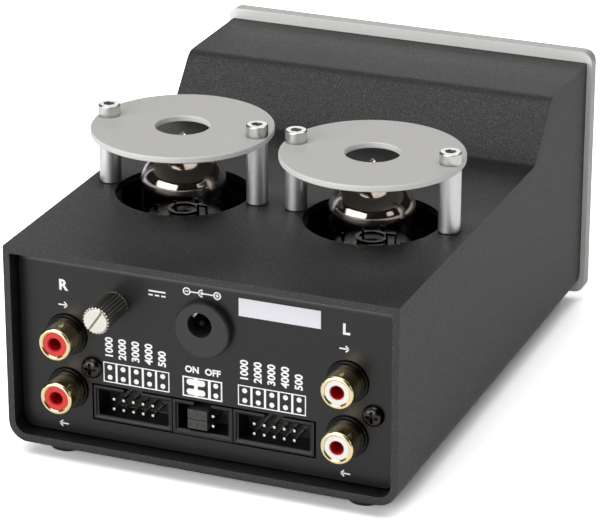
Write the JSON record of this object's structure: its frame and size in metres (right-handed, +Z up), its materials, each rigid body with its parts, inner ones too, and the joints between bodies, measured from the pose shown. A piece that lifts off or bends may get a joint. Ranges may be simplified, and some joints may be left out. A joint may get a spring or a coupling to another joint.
{
  "type": "phono preamplifier",
  "caption": "Small metal-cased valve phono preamplifier with a stepped top, valves under round guard discs, and phono sockets, jumper headers, power inlet and earth screw at the rear",
  "frame": {"origin": "bottom centre of the whole part's bounding box, where the feet stand", "axes": "+X to the right seen from the front, +Y towards the rear panel, +Z up; the front plate faces -Y"},
  "size_m": [0.1028, 0.1512, 0.0744],
  "materials": {
    "case_paint": "dark grey fine textured powder coat",
    "panel_paint": "satin dark grey paint",
    "front_metal": "fine brushed, silver anodised",
    "frame_metal": "zinc plated sheet",
    "black_screw": "blackened",
    "foot_rubber": "matt",
    "turned_aluminium": "satin",
    "guard_metal": "satin, bead blasted",
    "zinc_steel": "bright zinc",
    "valve_glass": "clear",
    "getter_film": "brown mirror film",
    "electrode_metal": "dull grey",
    "socket_plastic": "dark brown",
    "moulding_black": "black moulded",
    "gold_plate": "gold plated",
    "insulator_red": "moulded",
    "insulator_white": "moulded",
    "core_red": "glossy",
    "contact_tin": "tin plated",
    "inlet_plastic": "satin moulded",
    "brass_part": "turned",
    "label_film": "blank white sticker",
    "board_green": "solder-masked laminate",
    "can_sleeve": "shrunk sleeve",
    "film_box": "moulded box",
    "resistor_body": "lacquered",
    "button_metal": "satin",
    "lamp_lens": "tinted, clear"
  },
  "bodies": {
    "preamp_case": {"case_tray": "case_paint", "top_cover": "case_paint", "rear_panel": "panel_paint", "front_plate": "front_metal", "front_frame": "frame_metal", "plate_screws": "black_screw", "feet": "foot_rubber", "cover_pillars": "turned_aluminium", "base_screws": "black_screw", "right_guard": "guard_metal", "left_guard": "guard_metal", "guard_posts": "turned_aluminium", "guard_screws": "zinc_steel", "guard_nuts": "zinc_steel", "right_valve_glass": "valve_glass", "left_valve_glass": "valve_glass", "right_valve_getter": "getter_film", "left_valve_getter": "getter_film", "right_valve_electrodes": "electrode_metal", "left_valve_electrodes": "electrode_metal", "right_valve_socket": "socket_plastic", "left_valve_socket": "socket_plastic", "valve_pins": "contact_tin", "right_jack_body": "moulding_black", "left_jack_body": "moulding_black", "right_jack_shells": "gold_plate", "left_jack_shells": "gold_plate", "right_jack_insulators": "insulator_red", "left_jack_insulators": "insulator_white", "jack_cores": "core_red", "jack_contacts": "gold_plate", "jack_screws": "black_screw", "right_header": "moulding_black", "middle_header": "moulding_black", "left_header": "moulding_black", "header_pins": "contact_tin", "inlet_body": "inlet_plastic", "inlet_pin": "contact_tin", "inlet_contact": "contact_tin", "ground_bush": "brass_part", "panel_label": "label_film", "main_board": "board_green", "board_spacers": "brass_part", "board_screws": "zinc_steel", "inlet_board": "board_green", "front_board": "board_green", "riser_pins": "contact_tin", "filter_capacitors": "can_sleeve", "film_capacitors": "film_box", "op_amps": "moulding_black", "resistors": "resistor_body", "power_switch": "moulding_black", "power_led": "lamp_lens"},
    "ground_washer_ring": {"ground_washer": "zinc_steel"},
    "ground_thumb_screw": {"ground_screw": "zinc_steel"},
    "upper_jumper_cap": {"upper_jumper": "moulding_black", "upper_jumper_clip": "brass_part"},
    "lower_jumper_cap": {"lower_jumper": "moulding_black", "lower_jumper_clip": "brass_part"},
    "front_button": {"power_button": "button_metal"}
  },
  "joints": [
    {"name": "earth_screw_travel", "type": "slide", "parent": "preamp_case", "child": "ground_washer_ring", "axis": [0, 1, 0], "range_m": [0, 0.0014]},
    {"name": "earth_screw_turn", "type": "hinge", "parent": "ground_washer_ring", "child": "ground_thumb_screw", "pos_m": [0.023, 0.0646, 0.0417], "axis": [0, 1, 0], "range_deg": [0, 720]},
    {"name": "upper_jumper_pull", "type": "slide", "parent": "preamp_case", "child": "upper_jumper_cap", "axis": [0, 1, 0], "range_m": [0, 0.0065]},
    {"name": "lower_jumper_pull", "type": "slide", "parent": "preamp_case", "child": "lower_jumper_cap", "axis": [0, 1, 0], "range_m": [0, 0.0065]},
    {"name": "power_button_press", "type": "slide", "parent": "preamp_case", "child": "front_button", "axis": [0, 1, 0], "range_m": [0, 0.0018], "stiffness_N_per_m": 800, "springref_m": -0.0005}
  ],
  "couplings": [
    {"joint": "earth_screw_turn", "follows": "earth_screw_travel", "rad_per_m": 8976}
  ]
}
